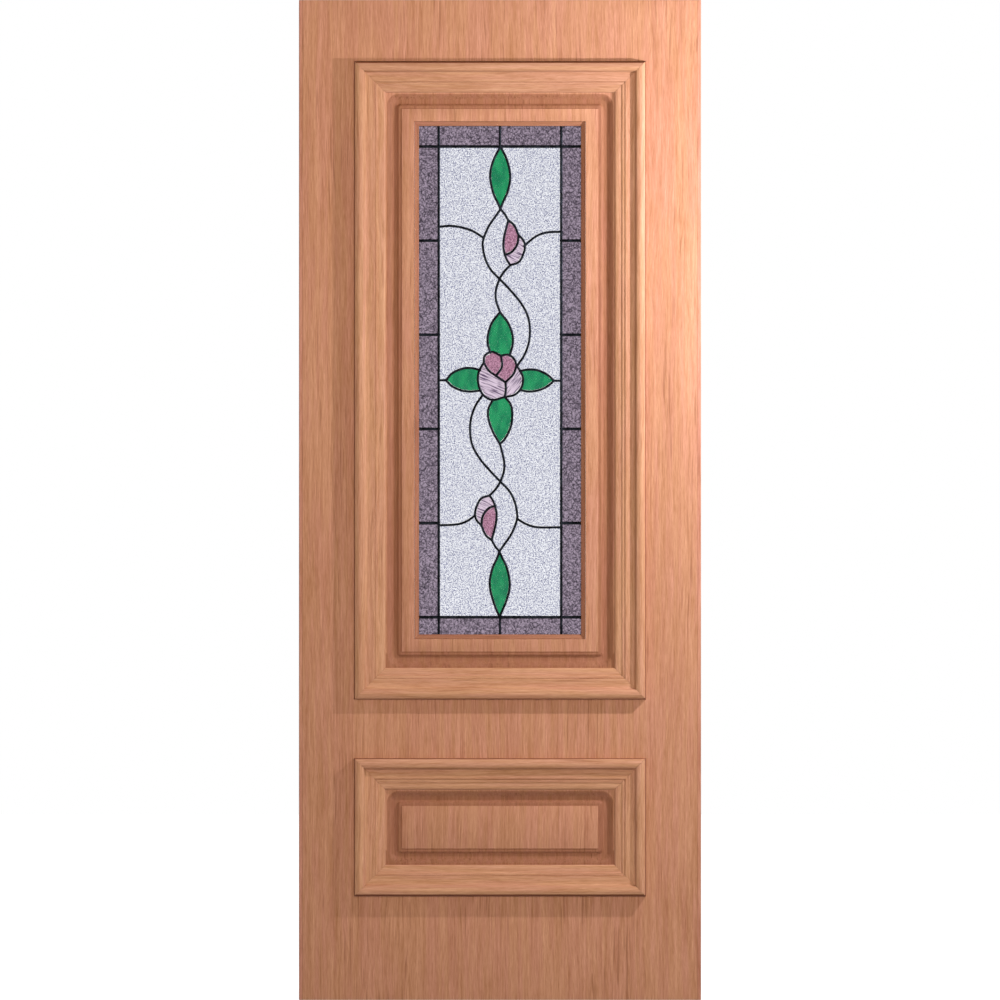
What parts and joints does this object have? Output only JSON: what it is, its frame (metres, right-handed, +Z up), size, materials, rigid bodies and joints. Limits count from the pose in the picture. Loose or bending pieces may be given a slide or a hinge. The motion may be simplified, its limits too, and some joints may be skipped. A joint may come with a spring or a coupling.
{
  "type": "door leaf",
  "caption": "Timber-veneered front door leaf with planted mouldings, a raised lower panel and a leadlight glass panel, made to hang by its hinge edge.",
  "frame": {"origin": "middle of the hinge edge, at half the leaf's height and half its thickness", "axes": "+X from the hinge edge across the leaf to the lock edge, +Y from the front face to the back, +Z up"},
  "size_m": [0.82, 0.071, 2.04],
  "materials": {
    "veneer": "fine straight vertical grain, satin oil",
    "moulding_timber": "fine grain along each length, satin oil",
    "lead": null,
    "clear_glass": "clear, fine granular texture",
    "border_glass": "purple-grey hammered glass",
    "green_glass": "streaky green cathedral glass",
    "dark_pink_glass": "streaky mauve pink glass",
    "pale_pink_glass": "streaky pale pink glass"
  },
  "bodies": {
    "root": {"back_glazing_bead": "moulding_timber", "door_slab": "veneer", "front_glazing_bead": "moulding_timber", "glass_border_bottom_left": "border_glass", "glass_border_bottom_right": "border_glass", "glass_border_corner_bottom_left": "border_glass", "glass_border_corner_bottom_right": "border_glass", "glass_border_corner_top_left": "border_glass", "glass_border_corner_top_right": "border_glass", "glass_border_left_1": "border_glass", "glass_border_left_2": "border_glass", "glass_border_left_3": "border_glass", "glass_border_left_4": "border_glass", "glass_border_left_5": "border_glass", "glass_border_right_1": "border_glass", "glass_border_right_2": "border_glass", "glass_border_right_3": "border_glass", "glass_border_right_4": "border_glass", "glass_border_right_5": "border_glass", "glass_border_top_left": "border_glass", "glass_border_top_right": "border_glass", "glass_clear_bottom_left": "clear_glass", "glass_clear_bottom_right": "clear_glass", "glass_clear_in_lower_bud_loop": "clear_glass", "glass_clear_in_lower_tendril": "clear_glass", "glass_clear_in_upper_bud_loop": "clear_glass", "glass_clear_in_upper_tendril": "clear_glass", "glass_clear_lower_left": "clear_glass", "glass_clear_lower_right": "clear_glass", "glass_clear_middle_left": "clear_glass", "glass_clear_middle_right": "clear_glass", "glass_clear_top_left": "clear_glass", "glass_clear_top_right": "clear_glass", "glass_leaf_above_rose": "green_glass", "glass_leaf_below_rose": "green_glass", "glass_leaf_bottom": "green_glass", "glass_leaf_left_of_rose": "green_glass", "glass_leaf_right_of_rose": "green_glass", "glass_leaf_top": "green_glass", "glass_lower_bud_dark_petal": "dark_pink_glass", "glass_lower_bud_pale_petal": "pale_pink_glass", "glass_rose_petal_lower_left": "pale_pink_glass", "glass_rose_petal_lower_right": "pale_pink_glass", "glass_rose_petal_upper_left": "dark_pink_glass", "glass_rose_petal_upper_right": "dark_pink_glass", "glass_upper_bud_dark_petal": "dark_pink_glass", "glass_upper_bud_pale_petal": "pale_pink_glass", "lead_cames": "lead", "lower_back_moulding": "moulding_timber", "lower_moulding_bottom": "moulding_timber", "lower_moulding_left": "moulding_timber", "lower_moulding_right": "moulding_timber", "lower_moulding_top": "moulding_timber", "lower_panel_board": "veneer", "upper_back_moulding": "moulding_timber", "upper_moulding_bottom": "moulding_timber", "upper_moulding_left": "moulding_timber", "upper_moulding_right": "moulding_timber", "upper_moulding_top": "moulding_timber", "upper_panel_board": "veneer"}
  },
  "joints": []
}
